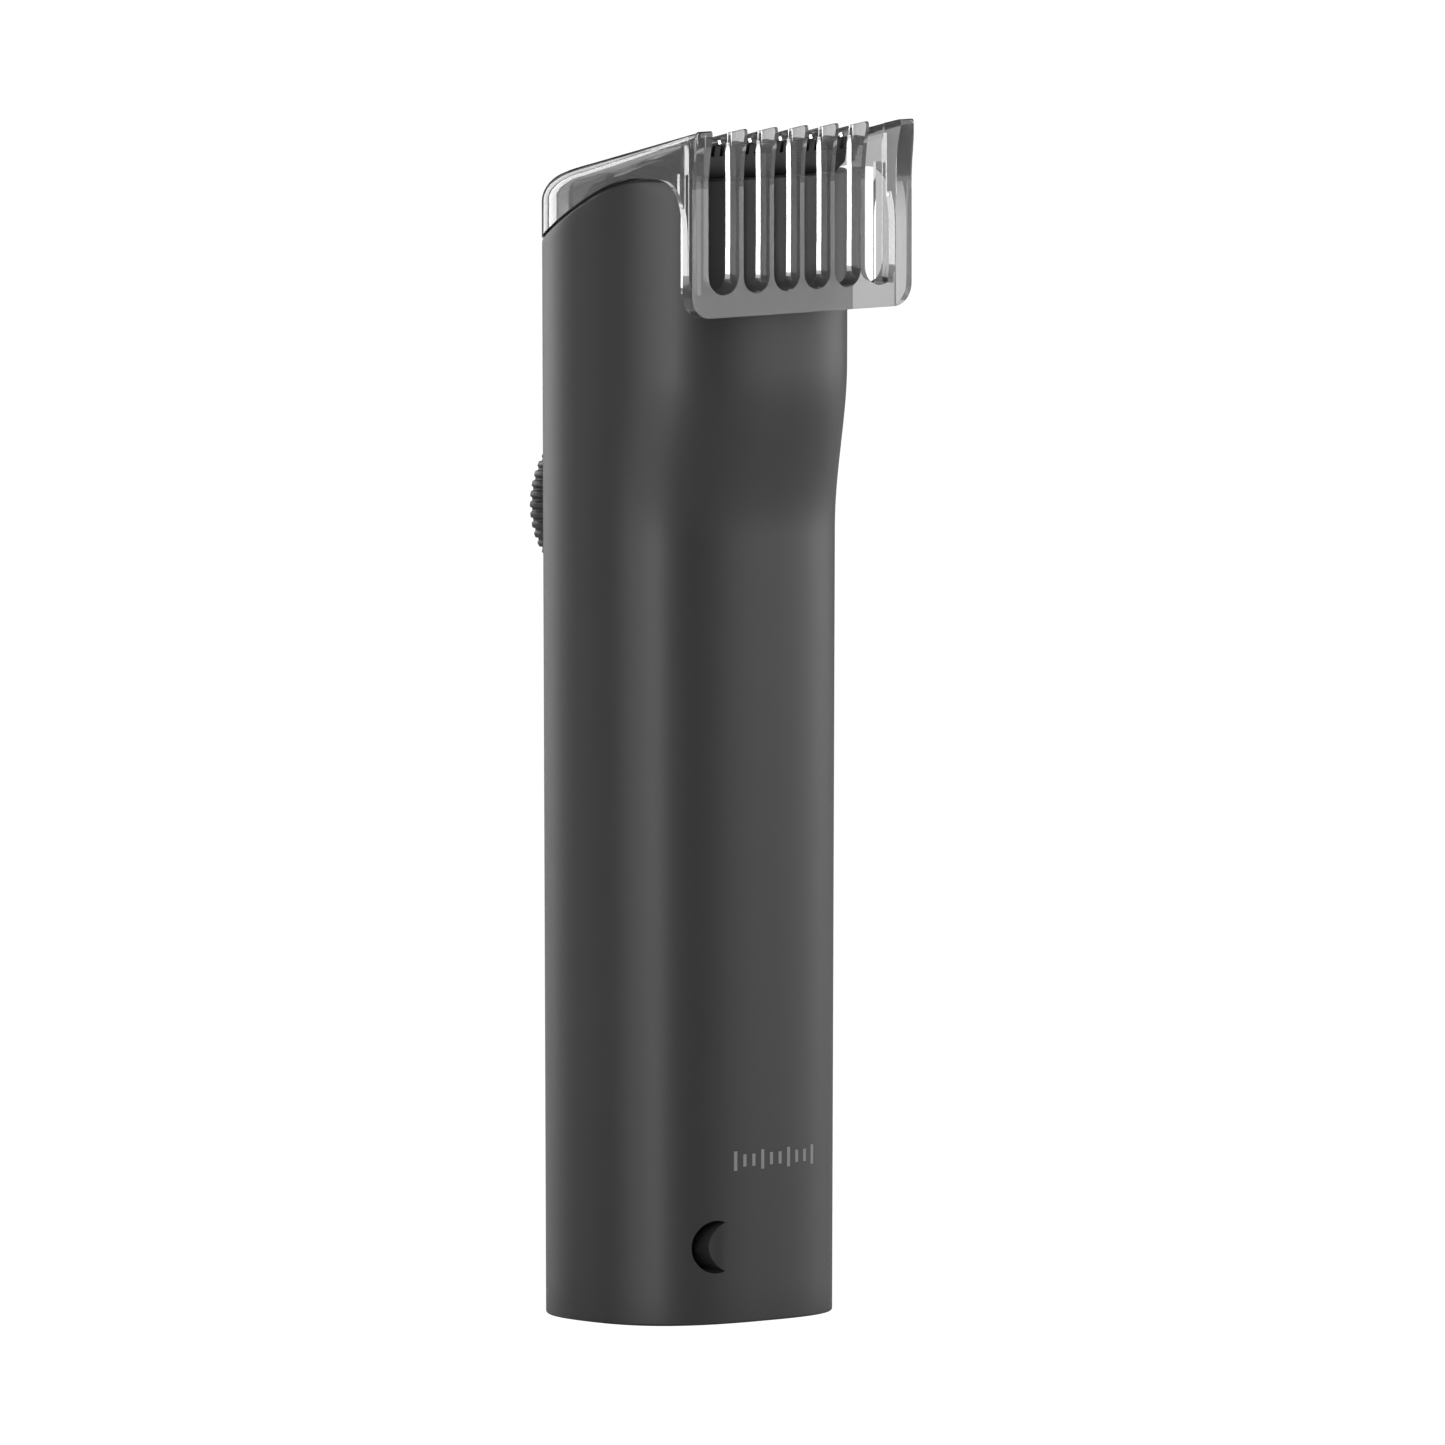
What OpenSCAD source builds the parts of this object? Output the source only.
// Cordless beard trimmer with a rotary length dial and a sliding guide comb.
// +Z is up the handle, +Y is the cutting side, -Y is the side with the dial.
// The origin is on the base, on the handle's centre line. Units are millimetres.

/* [Handle] */
// Half of the handle's width at the base
half_width = 19.47; // [18.8:0.01:20]
// Centre line to the back face at the base
back_depth = 16.41; // [15.8:0.01:16.6]
// Centre line to the front face at the base
front_depth = 17.93; // [17.2:0.01:18]
// Growth of every section for each millimetre of height
draft_rate = 0.000165; // [0.0001:0.000005:0.00025]
// Roundness exponent of the back half of a section
back_power = 2.8; // [2.4:0.02:3.2]
// Roundness exponent of the front half of a section
front_power = 2.32; // [2.3:0.01:2.7]
// Thickness of the handle's wall
wall = 2; // [1.8:0.1:2]

/* [Head swell] */
// How far the back face steps out below the head
swell_depth = 3; // [2.4:0.05:3]
// Height at which the step begins
swell_start = 109.5; // [104:0.5:112]
// Height at which the step ends
swell_end = 132; // [128:0.5:136]

/* [Rim] */
// Height of the rim at the back
rim_top = 159.2; // [158.8:0.1:159.6]
// How far the rim drops towards the front
rim_drop = 10.5; // [10:0.1:11.5]
// Gap between the rim and the comb's hood
rim_gap = 0.3; // [0.3:0.1:0.6]

/* [Comb] */
// Half of the comb's width
comb_half = 20; // [19.8:0.1:20.2]
// Centre line to the comb plate's outer face
comb_back = 24.25; // [24:0.05:24.6]
// How far the teeth lean out at their tips
comb_flare = 1; // [0.6:0.1:1.5]
// Thickness of the slotted plate
plate_thick = 2.6; // [2.4:0.1:2.6]
// Thickness of the hood's wall
hood_wall = 1.3; // [1:0.1:1.4]
// Distance from tooth to tooth
tooth_pitch = 5.53; // [5.4:0.01:5.6]
// Width of a tooth
tooth_width = 0.78; // [0.7:0.02:0.9]
// Width of the bar on each side of the slots
side_bar = 2.98; // [2.8:0.02:3.2]
// Travel of the comb from its shortest to its longest setting
comb_travel = 19.5; // [18:0.5:19.5]

/* [Dial] */
// Radius of the dial over its ridges
dial_radius = 11.4; // [10.8:0.1:11.6]
// Number of ridges round the dial
dial_ridges = 48; // [40:1:56]
// Height of the dial's centre
dial_z = 111.8; // [110:0.2:113]
// Centre line to the dial's outer face
dial_front = 21.3; // [20.4:0.1:21.6]

/* [Drive] */
// Stroke of the eccentric each way
throw = 1; // [0.8:0.1:1]
// Height of the blades' tips
blade_tip_z = 163.7; // [163.3:0.1:163.8]
// Number of teeth on each blade
blade_teeth = 17; // [13:2:19]

/* [Hidden] */
$fn = 48;

ring_count = 72;
top_slope = 0.232;
top_at_centre = 160.8;
rim_peak_y = 13.5;
rim_length = 31;
edge_radius = 0.4;
hood_radius = 5;
plate_corner = 3.2;
hood_bottom = 140.6;
slot_bottom = 143.7;
slot_front = 8;
rib_depth = 0.7;
leg_bottom = 122;
corner_y = 21.65;
step_y = 22.2;
arch_y = 16.8;
arch_z = 150.9;
flare_z = 158;

button_z = 80;
button_radius = 5.8;
button_proud = 0.6;
light_z = 66;
port_y = -5.5;
lanyard_x = 8.35;
lanyard_z = 10.8;
lanyard_radius = 3.67;
tongue_x = 5.55;
lanyard_floor = 9.5;

dial_seat = 15.2;
dial_bore = 3;
gear_module = 0.6;
gear_teeth = 14;
pitch_radius = gear_module * gear_teeth / 2;
tooth_gap = 0.14;
gear_y = -12;
gear_thick = 2.6;
rack_tooth = PI * gear_module;

motor_y = 3;
motor_radius = 10;
motor_bottom = 107;
motor_top = 134;
plate_top = 136.5;
shaft_radius = 1;
pin_radius = 0.75;
pin_top = 146.5;

blade_tilt = 12;
blade_tip_y = 17.4;
blade_half = 14.3;
neck_half = 12.2;
blade_thick = 1.2;
blade_height = 13;
screw_x = 9.6;
screw_z = -11;
blade_gap = 0.05;

cell_y = 1;
cell_radius = 9.2;
cell_length = 65;
shelf_low = 16.5;
shelf_high = 84.5;
shelf_thick = 1.5;
cell_bottom = shelf_low + shelf_thick + 0.5;
cell_top = cell_bottom + cell_length;
board_front = -12.5;
board_thick = 1.2;
board_bottom = 12;
board_top = 87.5;
ear_x = 9.9;

// ---- Sections and lofts ----

function smooth(u) = let (c = max(0, min(1, u))) c * c * (3 - 2 * c);
function draft(z) = 1 + draft_rate * z;
function swell(z) = smooth((z - swell_start) / (swell_end - swell_start));
function front_face(z) = front_depth * draft(z);
function top_plane(y) = top_at_centre + top_slope * y;
function rim(y) = rim_top - rim_drop * (1 - cos(180 * min(1, max(0, rim_peak_y - y) / rim_length))) / 2;

// A point of a superellipse, by its polar angle
function oval(angle, a, b, power) =
    let (c = cos(angle), s = sin(angle))
    let (r = pow(pow(abs(c) / a, power) + pow(abs(s) / b, power), -1 / power))
    [r * c, r * s];

// One ring whose back half (+Y) and front half (-Y) have their own depth and exponent
function ring(a, back, back_n, front, front_n) =
    [for (i = [0:ring_count - 1])
        let (angle = i * 360 / ring_count)
        angle < 180 ? oval(angle, a, back, back_n) : oval(angle, a, front, front_n)];

function at_height(points, z) = [for (p = points) [p[0], p[1], z]];

// The handle's section at a height, moved in by an inset
function body_ring(z, inset) = at_height(
    ring(half_width * draft(z) - inset,
        back_depth * draft(z) + swell_depth * swell(z) - inset,
        back_power + 0.1 * swell(z),
        front_face(z) - inset,
        front_power), z);

// A closed solid through rings of equal length, from the lowest to the highest
module loft(rings) {
    n = len(rings[0]);
    m = len(rings);
    sides = [for (k = [0:m - 2], i = [0:n - 1])
        let (a = k * n + i, b = k * n + (i + 1) % n)
        each [[a, a + n, b + n], [a, b + n, b]]];
    bottom = [for (i = [0:n - 1]) i];
    top = [for (i = [n - 1:-1:0]) (m - 1) * n + i];
    polyhedron(points = [for (r = rings) each r], faces = concat([bottom], sides, [top]));
}

// A side-view outline in Y and Z, extruded along X between two planes
module across(points, x0, x1) {
    translate([x0, 0, 0]) rotate([90, 0, 90]) linear_extrude(x1 - x0) polygon(points);
}

// A box given by its two opposite corners
module block(low, high) {
    translate(low) cube(high - low);
}

// A cylinder along +Y from one plane to another
module rod_y(x, z, y0, y1, radius) {
    translate([x, y0, z]) rotate([-90, 0, 0]) cylinder(h = y1 - y0, r = radius);
}

// A cylinder along +Z from one plane to another
module rod_z(x, y, z0, z1, radius) {
    translate([x, y, z0]) cylinder(h = z1 - z0, r = radius);
}

// A flat plate with the handle's section at a height
module section_plate(z0, z1, inset) {
    translate([0, 0, z0]) linear_extrude(z1 - z0)
        polygon([for (p = body_ring(0, inset)) [p[0], p[1]]]);
}

// ---- Handle ----

module housing_outside() {
    edge = [for (t = [0:22.5:90]) [edge_radius * (1 - sin(t)), edge_radius * (1 - cos(t))]];
    step = (swell_end - swell_start) / 10;
    body = concat([50, 100], [for (i = [0:10]) swell_start + i * step], [148, 163]);
    loft(concat([for (e = edge) body_ring(e[1], e[0])], [for (z = body) body_ring(z, 0)]));
}

module housing_inside() {
    step = (swell_end - swell_start) / 5;
    heights = concat([-1, 50], [for (i = [0:5]) swell_start + i * step], [164]);
    loft([for (z = heights) body_ring(z, wall)]);
}

// A deep crescent beside a round tongue whose face ramps down to the tongue's curved edge
module lanyard_pocket() {
    edge = tongue_x + lanyard_radius;
    intersection() {
        rod_y(lanyard_x, lanyard_z, lanyard_floor, 30, lanyard_radius);
        difference() {
            block([lanyard_x - 5, lanyard_floor, lanyard_z - 5], [lanyard_x + 5, 22, lanyard_z + 5]);
            difference() {
                rod_y(tongue_x, lanyard_z, 5, 30, lanyard_radius + 0.05);
                translate([0, 0, lanyard_z - 5]) linear_extrude(10)
                    polygon([[edge - 5.4, 30], [edge - 5.4, 16.3], [edge - 2.4, 15.85],
                        [edge - 0.9, 15.2], [edge + 1, 14.2], [edge + 1, 30]]);
            }
        }
    }
}

module housing() {
    rim_line = [for (y = [26:-2:-24]) [y, rim(y)]];
    color([0.16, 0.16, 0.17])
    difference() {
        housing_outside();
        difference() {
            housing_inside();
            rod_y(0, dial_z, -20, -13.6, dial_radius + 1.4);
            block([lanyard_x - 5, lanyard_floor - 1.5, 5.2], [lanyard_x + 5, 20, 16]);
        }
        across(concat(rim_line, [[-24, 180], [26, 180]]), -30, 30);
        rod_y(0, dial_z, -30, -dial_seat, dial_radius + 0.3);
        rod_y(0, dial_z, -20, -5, dial_bore);
        rod_y(0, button_z, -30, -5, button_radius + 0.1);
        rod_y(0, light_z, -30, -5, 1.5);
        lanyard_pocket();
        block([-neck_half - 0.4, 10, 155], [neck_half + 0.4, 17.1, 165]);
    }
}

module base_cap() {
    color([0.13, 0.13, 0.14])
    difference() {
        union() {
            section_plate(0, 3, wall + 0.05);
            section_plate(3, 5, wall + 1);
        }
        port_slot(-1, 6, 4.7, 1.85);
    }
}

// A stadium-shaped hole for the charging socket
module port_slot(z0, z1, half_long, radius) {
    for (side = [-1, 1]) rod_z(side * (half_long - radius), port_y, z0, z1, radius);
    block([radius - half_long, port_y - radius, z0], [half_long - radius, port_y + radius, z1]);
}

module base_seal() {
    color([0.08, 0.08, 0.08])
    difference() {
        section_plate(3.2, 4.4, wall + 0.05);
        section_plate(3, 5, wall + 1);
    }
}

module charge_socket() {
    color([0.72, 0.73, 0.75])
    difference() {
        port_slot(0.8, 8, 4.47, 1.63);
        port_slot(0, 7, 4.17, 1.33);
    }
}

module charge_contacts() {
    color([0.1, 0.1, 0.1]) block([-3.3, port_y - 0.35, 2.2], [3.3, port_y + 0.35, 7]);
}

module charge_board() {
    color([0.05, 0.3, 0.18]) block([-8, -9, 8], [8, 3, 9]);
}

module lanyard_pin() {
    color([0.6, 0.6, 0.62])
    rod_z(lanyard_x + 2, lanyard_floor + 1.6, lanyard_z - 2.6, lanyard_z + 2.6, 0.7);
}

// ---- Chassis, battery and electronics ----

module chassis() {
    color([0.2, 0.2, 0.22])
    difference() {
        union() {
            block([-11, 11, shelf_low], [11, 12.4, 102.5]);
            block([-11, -7, 102.5], [11, 12.4, 104]);
            block([-12.6, -7, motor_top], [12.6, 13, plate_top]);
            for (z = [shelf_low, shelf_high]) {
                block([-11, -8, z], [11, 11, z + shelf_thick]);
                for (side = [-1, 1]) block([side * ear_x - 1.1, board_front + board_thick, z],
                    [side * ear_x + 1.1, -8, z + shelf_thick]);
            }
            for (side = [-1, 1])
                block([side * 11.8 - 0.8, -6.5, 102.5], [side * 11.8 + 0.8, -3, motor_top]);
        }
        rod_z(0, motor_y, motor_top - 1, plate_top + 1, 3.1);
        for (side = [-1, 1]) rod_z(side * 6.5, motor_y, motor_top - 1, plate_top + 1, 0.9);
        rod_z(0, motor_y, 100, 105, 2);
    }
}

module battery_cell() {
    color([0.2, 0.45, 0.3]) rod_z(0, cell_y, cell_bottom, cell_top - 1, cell_radius);
    color([0.8, 0.8, 0.8]) rod_z(0, cell_y, cell_top - 1, cell_top, 3);
}

module battery_tab_bottom() {
    color([0.75, 0.74, 0.7]) block([-3, -6, cell_bottom - 0.3], [3, 7, cell_bottom]);
    color([0.75, 0.74, 0.7]) block([-3, -10.8, cell_bottom - 0.3], [3, -6, cell_bottom]);
}

module battery_tab_top() {
    color([0.75, 0.74, 0.7]) block([-2, -10.8, cell_top], [2, 3, cell_top + 0.3]);
}

module battery_foam() {
    color([0.1, 0.1, 0.1]) block([-6, -4, cell_top + 0.35], [6, 8, shelf_high]);
}

module main_board() {
    color([0.05, 0.32, 0.2])
    difference() {
        block([-11, board_front, board_bottom], [11, board_front + board_thick, board_top]);
        for (side = [-1, 1], z = [shelf_low, shelf_high])
            rod_y(side * ear_x, z + shelf_thick / 2, board_front - 1, -10, 0.9);
    }
}

module board_screws() {
    color([0.7, 0.7, 0.72])
    for (side = [-1, 1], z = [shelf_low, shelf_high]) {
        rod_y(side * ear_x, z + shelf_thick / 2, board_front, board_front + board_thick, 0.85);
        rod_y(side * ear_x, z + shelf_thick / 2, board_front - 0.6, board_front, 1.2);
    }
}

module board_parts() {
    back = board_front + board_thick;
    color([0.08, 0.08, 0.09]) {
        block([-4, back, 40], [2, back + 1.2, 46]);
        block([4, back, 52], [8, back + 1, 57]);
        block([-9, back, 60], [-5, back + 1.6, 66]);
        block([-2, back, 24], [4, back + 1.4, 30]);
        block([5, back, 30], [9, back + 1.8, 36]);
    }
    color([0.9, 0.9, 0.85]) block([-1.2, board_front - 0.8, light_z - 1.2],
        [1.2, board_front, light_z + 1.2]);
}

module switch_body() {
    color([0.75, 0.75, 0.77])
    difference() {
        block([-3, board_front - 1.4, button_z - 3], [3, board_front, button_z + 3]);
        rod_y(0, button_z, board_front - 2, board_front - 0.1, 1.3);
    }
}

module switch_plunger() {
    color([0.1, 0.1, 0.1]) rod_y(0, button_z, board_front - 1.9, board_front - 0.8, 1.2);
}

module power_button() {
    face = front_face(button_z);
    color([0.22, 0.22, 0.23]) {
        rod_y(0, button_z, -face - button_proud, -14.5, button_radius);
        rod_y(0, button_z, -14.5, board_front - 1.9, 1.2);
    }
}

module button_seal() {
    color([0.07, 0.07, 0.07])
    difference() {
        rod_y(0, button_z, -14.95, -14.55, button_radius + 1.4);
        rod_y(0, button_z, -16, -14, button_radius + 0.1);
    }
}

module status_light() {
    color([0.9, 0.92, 0.95]) rod_y(0, light_z, -front_face(light_z) + 0.05, board_front - 0.9, 1.45);
}

// ---- Motor ----

module motor_can() {
    color([0.7, 0.71, 0.73])
    difference() {
        union() {
            rod_z(0, motor_y, motor_bottom, motor_top, motor_radius);
            rod_z(0, motor_y, motor_top, motor_top + 2, 3);
        }
        rod_z(0, motor_y, motor_bottom - 1, motor_top - 1, motor_radius - 0.7);
        rod_z(0, motor_y, motor_bottom, motor_top + 3, shaft_radius + 0.05);
        for (side = [-1, 1]) rod_z(side * 6.5, motor_y, motor_top - 2, motor_top + 1, 0.9);
    }
}

module motor_magnets() {
    color([0.3, 0.3, 0.32])
    difference() {
        rod_z(0, motor_y, 111, 129, motor_radius - 0.75);
        rod_z(0, motor_y, 110, 130, 7);
        block([-0.8, -20, 110], [0.8, 20, 130]);
    }
}

module motor_end_cap() {
    color([0.85, 0.84, 0.8])
    difference() {
        union() {
            rod_z(0, motor_y, motor_bottom - 2, motor_bottom, motor_radius);
            rod_z(0, motor_y, motor_bottom, motor_bottom + 1.5, motor_radius - 0.75);
        }
        rod_z(0, motor_y, 100, 110, shaft_radius + 0.05);
    }
}

module motor_rotor() {
    color([0.62, 0.35, 0.18])
    difference() {
        rod_z(0, motor_y, 111.5, 128.5, 6.4);
        rod_z(0, motor_y, 111, 129, shaft_radius);
        for (k = [0:2]) translate([0, motor_y, 0]) rotate([0, 0, 120 * k])
            block([4, -0.9, 111], [8, 0.9, 129]);
    }
}

module motor_shaft() {
    color([0.8, 0.8, 0.82]) rod_z(0, motor_y, 104.5, 141, shaft_radius);
}

module eccentric() {
    color([0.9, 0.9, 0.88])
    difference() {
        rod_z(0, motor_y, 138.5, 142, 3.4);
        rod_z(0, motor_y, 138, 141, shaft_radius);
    }
    color([0.8, 0.8, 0.82]) rod_z(0, motor_y + throw, 142, pin_top, pin_radius);
}

module motor_screws() {
    color([0.7, 0.7, 0.72])
    for (side = [-1, 1]) {
        rod_z(side * 6.5, motor_y, motor_top - 0.9, plate_top, 0.85);
        rod_z(side * 6.5, motor_y, plate_top, plate_top + 0.9, 1.5);
    }
}

module shaft_seal() {
    color([0.07, 0.07, 0.07])
    difference() {
        rod_z(0, motor_y, plate_top, plate_top + 1.2, 4);
        rod_z(0, motor_y, plate_top - 1, plate_top + 2, shaft_radius + 0.3);
    }
}

// ---- Length dial ----

function turned(p, angle) = [p[0] * cos(angle) - p[1] * sin(angle), p[0] * sin(angle) + p[1] * cos(angle)];

// Outline of a wheel whose broad ridges stand out from narrow grooves
function ridged(radius, groove, count) =
    [for (i = [0:count - 1], k = [[-0.3, radius], [0.3, radius], [0.38, radius - groove],
            [0.62, radius - groove]])
        let (angle = (i + k[0]) * 360 / count)
        [k[1] * cos(angle), k[1] * sin(angle)]];

module dial_knob() {
    color([0.2, 0.2, 0.21])
    difference() {
        translate([0, -dial_seat - 0.3, dial_z]) rotate([90, 0, 0]) {
            linear_extrude(dial_front - dial_seat - 0.9)
                polygon(ridged(dial_radius, 0.45, dial_ridges));
            cylinder(h = dial_front - dial_seat - 0.3, r = dial_radius - 0.8);
        }
        rod_y(0, dial_z, -30, -dial_front + 0.8, dial_radius - 2.4);
        rod_y(0, dial_z, -30, -5, 0.9);
    }
}

// Half-angle of a gear tooth, seen from the gear's centre, at a radius on its involute flank
function flank(r) =
    let (base = pitch_radius * cos(20), a = acos(min(1, base / max(base, r))))
    let (pitch_half = (rack_tooth / 2 - tooth_gap) / (2 * pitch_radius) * 180 / PI)
    pitch_half + (tan(20) * 180 / PI - 20) - (tan(a) * 180 / PI - a);

function gear_outline() =
    [for (i = [0:gear_teeth - 1])
        let (radii = [3.42, 3.95, 4.2, 4.45, 4.68])
        each concat(
            [for (k = [0:4]) turned([radii[k], 0], i * 360 / gear_teeth - flank(radii[k]))],
            [for (k = [4:-1:0]) turned([radii[k], 0], i * 360 / gear_teeth + flank(radii[k]))])];

module dial_shaft() {
    color([0.85, 0.84, 0.8]) {
        difference() {
            rod_y(0, dial_z, -dial_seat - 0.3, gear_y, dial_bore - 0.06);
            rod_y(0, dial_z, -20, gear_y, 0.9);
        }
        translate([0, gear_y + gear_thick, dial_z]) rotate([90, 0, 0])
            linear_extrude(gear_thick) polygon(gear_outline());
    }
}

module dial_seal() {
    color([0.07, 0.07, 0.07])
    difference() {
        rod_y(0, dial_z, -13.6, -12.4, 4.6);
        rod_y(0, dial_z, -14, -12, dial_bore + 0.04);
    }
}

module dial_screw() {
    color([0.7, 0.7, 0.72]) {
        rod_y(0, dial_z, -dial_front + 0.8, -dial_front + 1.8, 0.85);
        rod_y(0, dial_z, -dial_front + 0.1, -dial_front + 0.8, 2);
        rod_y(0, dial_z, -dial_front + 1.8, -13, 0.85);
    }
}

module detent_spring() {
    color([0.75, 0.75, 0.78]) {
        block([-9, -13.55, dial_z - 9.6], [-6.2, -13.25, dial_z + 3]);
        block([-6.2, -13.55, dial_z - 0.8], [-5.1, -13.25, dial_z + 0.8]);
    }
}

// ---- Comb carriage and comb ----

// One rack tooth, as X and Z offsets from the pitch line
function rack_tooth_points(z) =
    let (half = rack_tooth / 4 - tooth_gap / 2, lean = tan(20))
    [[0.72, z - half - 0.72 * lean], [-0.45, z - half + 0.45 * lean],
        [-0.45, z + half - 0.45 * lean], [0.72, z + half + 0.72 * lean]];

module rack() {
    first = -ceil(comb_travel / rack_tooth) - 1;
    last = 2;
    points = [for (i = [first:last]) each rack_tooth_points(dial_z + (i + 0.5) * rack_tooth)];
    low = dial_z + (first - 0.5) * rack_tooth;
    high = dial_z + 7.4;
    translate([0, gear_y + gear_thick, 0]) rotate([90, 0, 0]) linear_extrude(gear_thick)
        translate([pitch_radius, 0])
            polygon(concat([[3.3, high], [3.3, low], [0.72, low]], points, [[0.72, high]]));
}

// The carriage's cross bar and the bends towards its two arms, seen from above
function yoke_outline() =
    let (back = gear_y + gear_thick)
    let (half = [[12.6, gear_y], [15.2, back + 0.2], [15.2, -5], [13.2, -5], [13.2, back]])
    concat(half, [for (i = [4:-1:0]) [-half[i][0], half[i][1]]]);

module comb_carriage() {
    color([0.82, 0.82, 0.8]) {
        rack();
        translate([0, 0, 118]) linear_extrude(4) polygon(yoke_outline());
        for (side = [-1, 1]) block([side * 14.2 - 1, -5, 118], [side * 14.2 + 1, 3, 139]);
    }
}

// The comb seen from above: the handle's front half and a square back with round corners
function comb_plan(inset, back, corner) =
    let (a = comb_half - inset, front = front_face(rim_top) - inset)
    concat([for (angle = [180:5:355]) oval(angle, a, front, front_power)],
        [for (t = [0:30:90]) [a - corner + corner * cos(t), back - corner + corner * sin(t)]],
        [for (t = [90:30:180]) [corner - a + corner * cos(t), back - corner + corner * sin(t)]]);

// The comb seen from the side: a round front, the sloping top and teeth that lean out
function comb_side(inset) =
    let (slope = atan(top_slope), r = hood_radius - inset)
    let (y0 = hood_radius - front_face(rim_top), z0 = top_plane(y0) - hood_radius / cos(slope))
    let (tip = comb_back + comb_flare, tip_z = top_plane(tip) - inset)
    concat([[y0 - r, 120]],
        [for (u = [0:0.2:1]) let (t = 180 - u * (90 - slope)) [y0 + r * cos(t), z0 + r * sin(t)]],
        [[tip - 0.6, tip_z - 0.15], [tip, tip_z - 0.9]],
        [for (u = [0.8:-0.2:0]) [comb_back + comb_flare * u * u, flare_z + u * (tip_z - 0.9 - flare_z)]],
        [[comb_back, 120]]);

module comb_outside() {
    intersection() {
        translate([0, 0, hood_bottom]) linear_extrude(40)
            polygon(comb_plan(0, comb_back + comb_flare, 1.2));
        across(comb_side(0), -30, 30);
    }
}

module comb_inside() {
    inner = comb_back - plate_thick;
    intersection() {
        translate([0, 0, hood_bottom - 1]) linear_extrude(40)
            polygon(comb_plan(hood_wall, inner, 0.6));
        across(comb_side(hood_wall), -30, 30);
    }
}

// The square corners outside the plate's round lower corners
module plate_corners() {
    r = plate_corner;
    for (side = [-1, 1]) difference() {
        block([side * (comb_half + 1 - r / 2) - r / 2 - 1, step_y - 3, hood_bottom - 1],
            [side * (comb_half + 1 - r / 2) + r / 2 + 1, comb_back + 2, hood_bottom + r]);
        rod_y(side * (comb_half - r), hood_bottom + r, step_y - 4, comb_back + 3, r);
    }
}

// What the hood's lower edge clears: the handle below the rim, and the space behind the plate
module below_rim(back, x0, x1) {
    high = rim_top + rim_gap;
    line = [for (y = [-24:2:16]) [y, rim(y) + rim_gap]];
    corner = [for (t = [90:-10:0]) oval(t, back - arch_y, high - arch_z, 2.5) + [arch_y, arch_z]];
    across(concat([[-24, 120]], line, corner, [[back, 120]]), x0, x1);
}

// The deeper cut that lets the plate's side edges stand clear of the handle's corners
module side_step() {
    for (side = [-1, 1]) below_rim(step_y, side * 20 - 2, side * 20 + 2);
}

// A rib down the inner edge of each side bar, from the slots' lower ends to the hood
module side_ribs() {
    inner = comb_half - side_bar;
    for (side = [-1, 1]) across([[19.5, slot_bottom], [comb_back - 1, slot_bottom],
        [comb_back - 1, 160.5], [19.5, 160.5]], side * (inner + 0.45) - 0.45, side * (inner + 0.45) + 0.45);
}

// The space between two teeth: a round-bottomed slot that runs over the top
module slot(x, width) {
    inner = comb_back - plate_thick;
    rod_y(x, slot_bottom + width / 2, inner - 3, 30, width / 2);
    across([[inner - 3, slot_bottom + width / 2], [30, slot_bottom + width / 2], [30, 180],
        [slot_front, 180], [slot_front, top_plane(slot_front) - 3], [inner - 3, 160]],
        x - width / 2, x + width / 2);
}

module slots() {
    inner_width = tooth_pitch - tooth_width;
    end_low = 2 * tooth_pitch + tooth_width / 2;
    end_width = comb_half - side_bar - end_low;
    for (side = [-1, 1]) {
        for (i = [0, 1]) slot(side * (i + 0.5) * tooth_pitch, inner_width);
        slot(side * (end_low + end_width / 2), end_width);
    }
}

// The thinned undersides of the teeth, over the blades
module rib_relief() {
    reach = comb_half - side_bar;
    across([[slot_front, 150], [slot_front, top_plane(slot_front) - rib_depth],
        [19.8, top_plane(19.8) - rib_depth], [21.7, 160.5], [21.7, 150]], -reach, reach);
}

module guide_comb() {
    color([0.42, 0.4, 0.4, 0.5])
    union() {
        difference() {
            comb_outside();
            comb_inside();
            below_rim(corner_y, -30, 30);
            side_step();
            plate_corners();
            rib_relief();
            slots();
        }
        for (side = [-1, 1])
            across([[-5, leg_bottom], [3, leg_bottom], [3, top_plane(3) - 0.5],
                [-5, top_plane(-5) - 0.5]], side * 16.15 - 0.75, side * 16.15 + 0.75);
        side_ribs();
    }
}

// ---- Cutting head ----

// Places children in the blades' frame: +Z to the tips, +Y out of the skin face
module on_blade() {
    translate([0, blade_tip_y, blade_tip_z]) rotate([-blade_tilt, 0, 0]) children();
}

module head_frame() {
    top_low = top_plane(-5) - 1.9;
    outline = [[-6.5, 138.2], [12.6, 138.2], [13.2, 153], [15.6, 162.2], [14, top_plane(14) - 1.9],
        [-4, top_low], [-6.5, top_low - 2.4]];
    hollow = [[-5, 137], [11.2, 137], [11.8, 152.5], [13.4, 160.4], [-3.5, top_low - 1.7],
        [-5, top_low - 3.4]];
    color([0.13, 0.13, 0.14])
    difference() {
        union() {
            head_shell(outline, hollow);
            on_blade() for (side = [-1, 1]) blade_post(side, 1.2, 3.4, 2);
        }
        on_blade() for (side = [-1, 1]) blade_post(side, 1, 5, 1.05);
    }
}

// A cylinder on a blade screw's axis, between two depths under the skin face
module blade_post(side, from, to, radius) {
    translate([side * screw_x, 0, screw_z]) rotate([90, 0, 0])
        translate([0, 0, from]) cylinder(h = to - from, r = radius);
}

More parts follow.
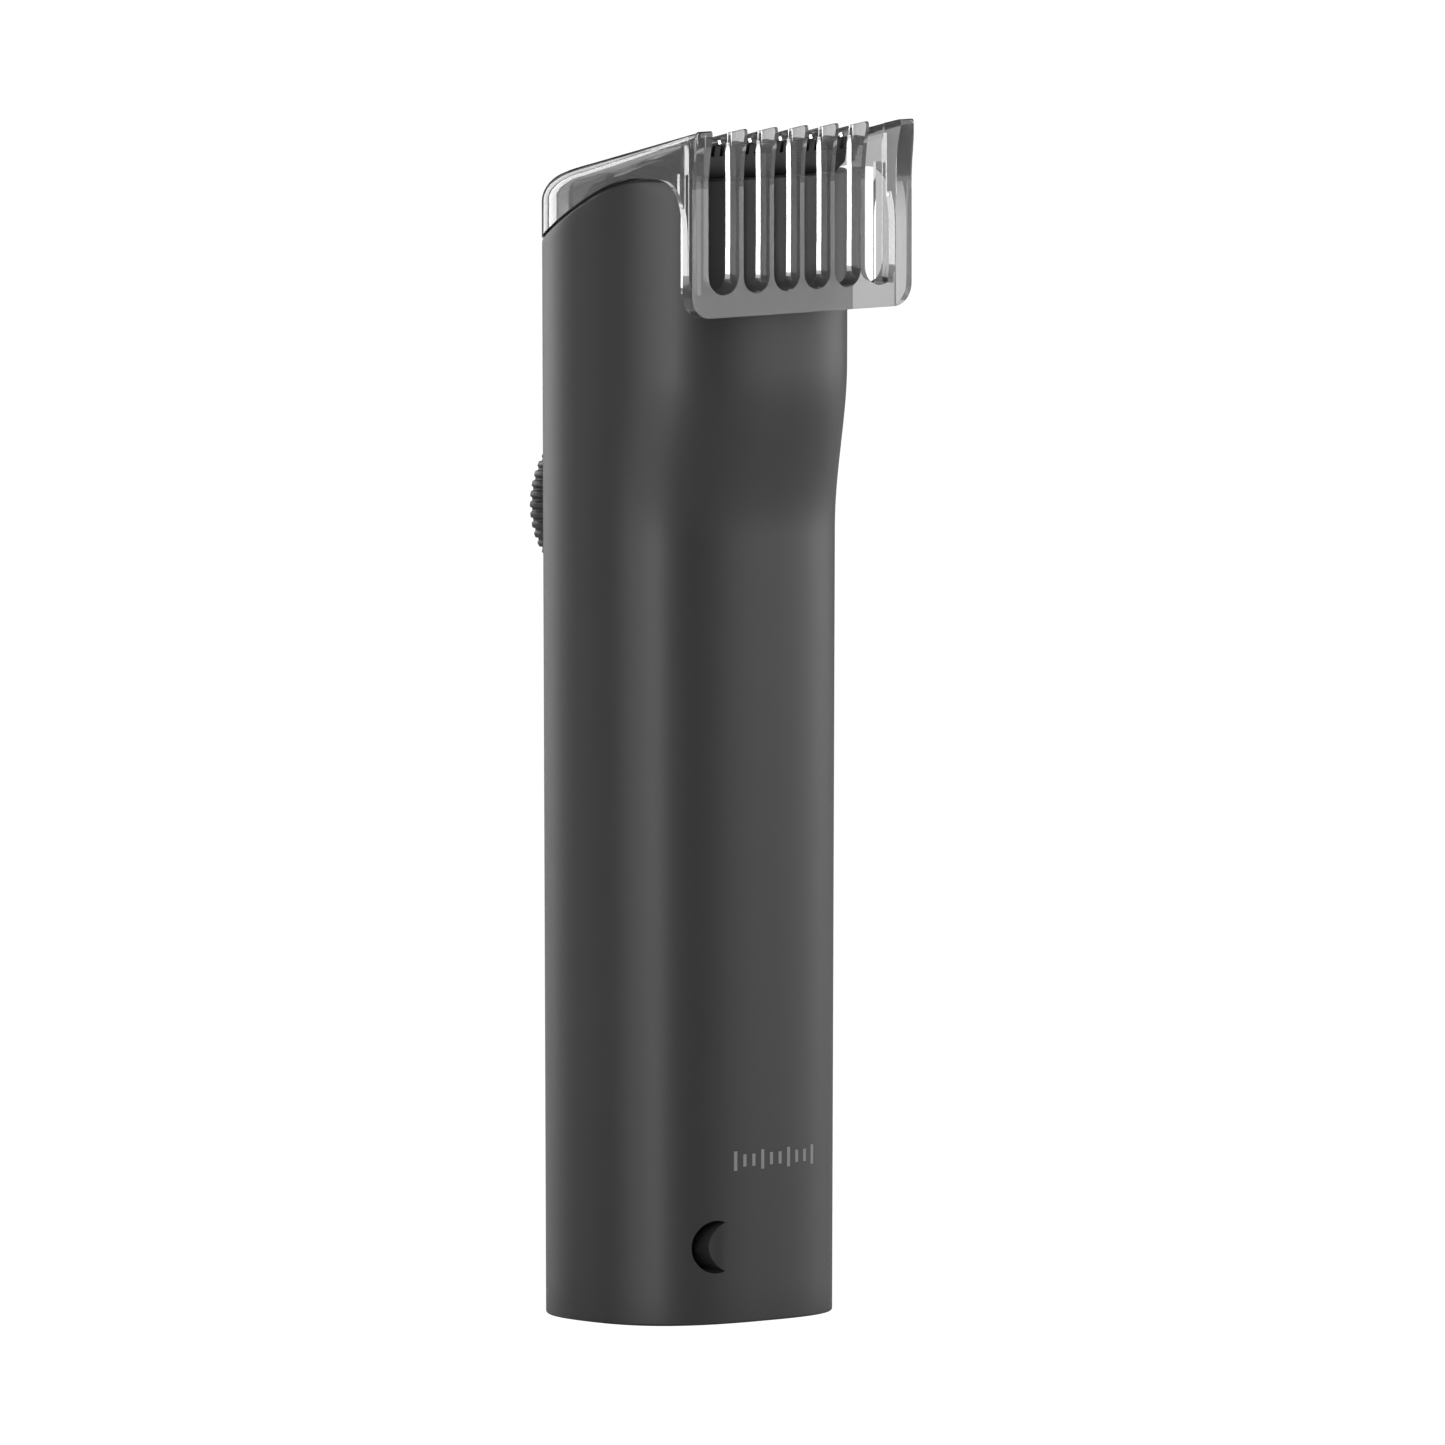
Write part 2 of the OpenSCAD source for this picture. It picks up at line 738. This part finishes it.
// The head's hollow block, widened at the blades and open at the skin face
module head_shell(outline, hollow) {
    difference() {
        union() {
            across(outline, -neck_half, neck_half);
            intersection() {
                across(outline, -blade_half, blade_half);
                translate([0, 30, 0]) rotate([90, 0, 0]) linear_extrude(60)
                    polygon([[-neck_half, 159], [neck_half, 159], [blade_half, 160.8],
                        [blade_half, 180], [-blade_half, 180], [-blade_half, 160.8]]);
            }
        }
        across(hollow, -neck_half + 1.2, neck_half - 1.2);
        on_blade() block([-blade_half - 1, -2.7, -blade_height - 0.1], [blade_half + 1, 4, 10]);
        on_blade() block([-5, -12, -12], [5, -1, -3.5]);
        block([-4.5, 9, 138], [4.5, 14, 157]);
    }
}

// A toothed plate in the blades' frame
module toothed_plate(half, y0, y1, z0, z1, count, gap, depth) {
    pitch = 2 * (half - 1) / count;
    difference() {
        block([-half, y0, z0], [half, y1, z1]);
        for (i = [0:count]) block([-half + 1 + i * pitch - gap / 2, y0 - 1, z1 - depth],
            [-half + 1 + i * pitch + gap / 2, y1 + 1, z1 + 1]);
    }
}

module fixed_blade() {
    color([0.5, 0.5, 0.52])
    on_blade() difference() {
        intersection() {
            toothed_plate(blade_half, -blade_thick, 0, -blade_height, 0, blade_teeth, 0.6, 1.5);
            across([[0, 1], [-0.45, 1], [-0.45, 0], [-blade_thick - 0.1, -1], [-blade_thick - 0.1, -20],
                [0, -20]], -20, 20);
            translate([0, 5, 0]) rotate([90, 0, 0]) linear_extrude(10)
                polygon([[-neck_half, -20], [neck_half, -20], [neck_half, -5.2], [blade_half, -3.4],
                    [blade_half, 5], [-blade_half, 5], [-blade_half, -3.4], [-neck_half, -5.2]]);
        }
        for (side = [-1, 1]) blade_post(side, -1, 3, 1.1);
    }
}

module moving_blade() {
    color([0.72, 0.73, 0.75])
    on_blade() toothed_plate(11.6, -2.25, -blade_thick - blade_gap, -8.6, -0.6, blade_teeth, 0.7, 1.4);
}

module blade_driver() {
    color([0.88, 0.87, 0.83])
    difference() {
        union() {
            on_blade() block([-3.2, -5.4, -9.6], [3.2, -2.3, -5.2]);
            block([-3.2, 8.6, 143], [3.2, 11, 157.2]);
            block([-4.6, -0.6, 143], [4.6, 11, 145.6]);
        }
        block([-2.9, motor_y - 2.4, 142], [2.9, motor_y + 2.4, 147]);
    }
}

module blade_spring() {
    color([0.8, 0.8, 0.82])
    on_blade() for (side = [-1, 1])
        block([side * 6.6 - 0.3, -2.6, -12.8], [side * 6.6 + 0.3, -2.3, -4]);
}

module blade_screws() {
    color([0.7, 0.7, 0.72])
    on_blade() for (side = [-1, 1]) {
        blade_post(side, -0.7, 0, 1.9);
        blade_post(side, 0, 3.2, 1);
    }
}

housing();
base_cap();
base_seal();
charge_socket();
charge_contacts();
charge_board();
battery_cell();
battery_tab_bottom();
battery_tab_top();
battery_foam();
main_board();
board_parts();
switch_body();
switch_plunger();
power_button();
button_seal();
status_light();
chassis();
board_screws();
motor_can();
motor_magnets();
motor_end_cap();
motor_rotor();
motor_shaft();
eccentric();
motor_screws();
shaft_seal();
dial_knob();
dial_shaft();
dial_seal();
dial_screw();
detent_spring();
comb_carriage();
guide_comb();
head_frame();
fixed_blade();
moving_blade();
blade_driver();
blade_spring();
blade_screws();
lanyard_pin();
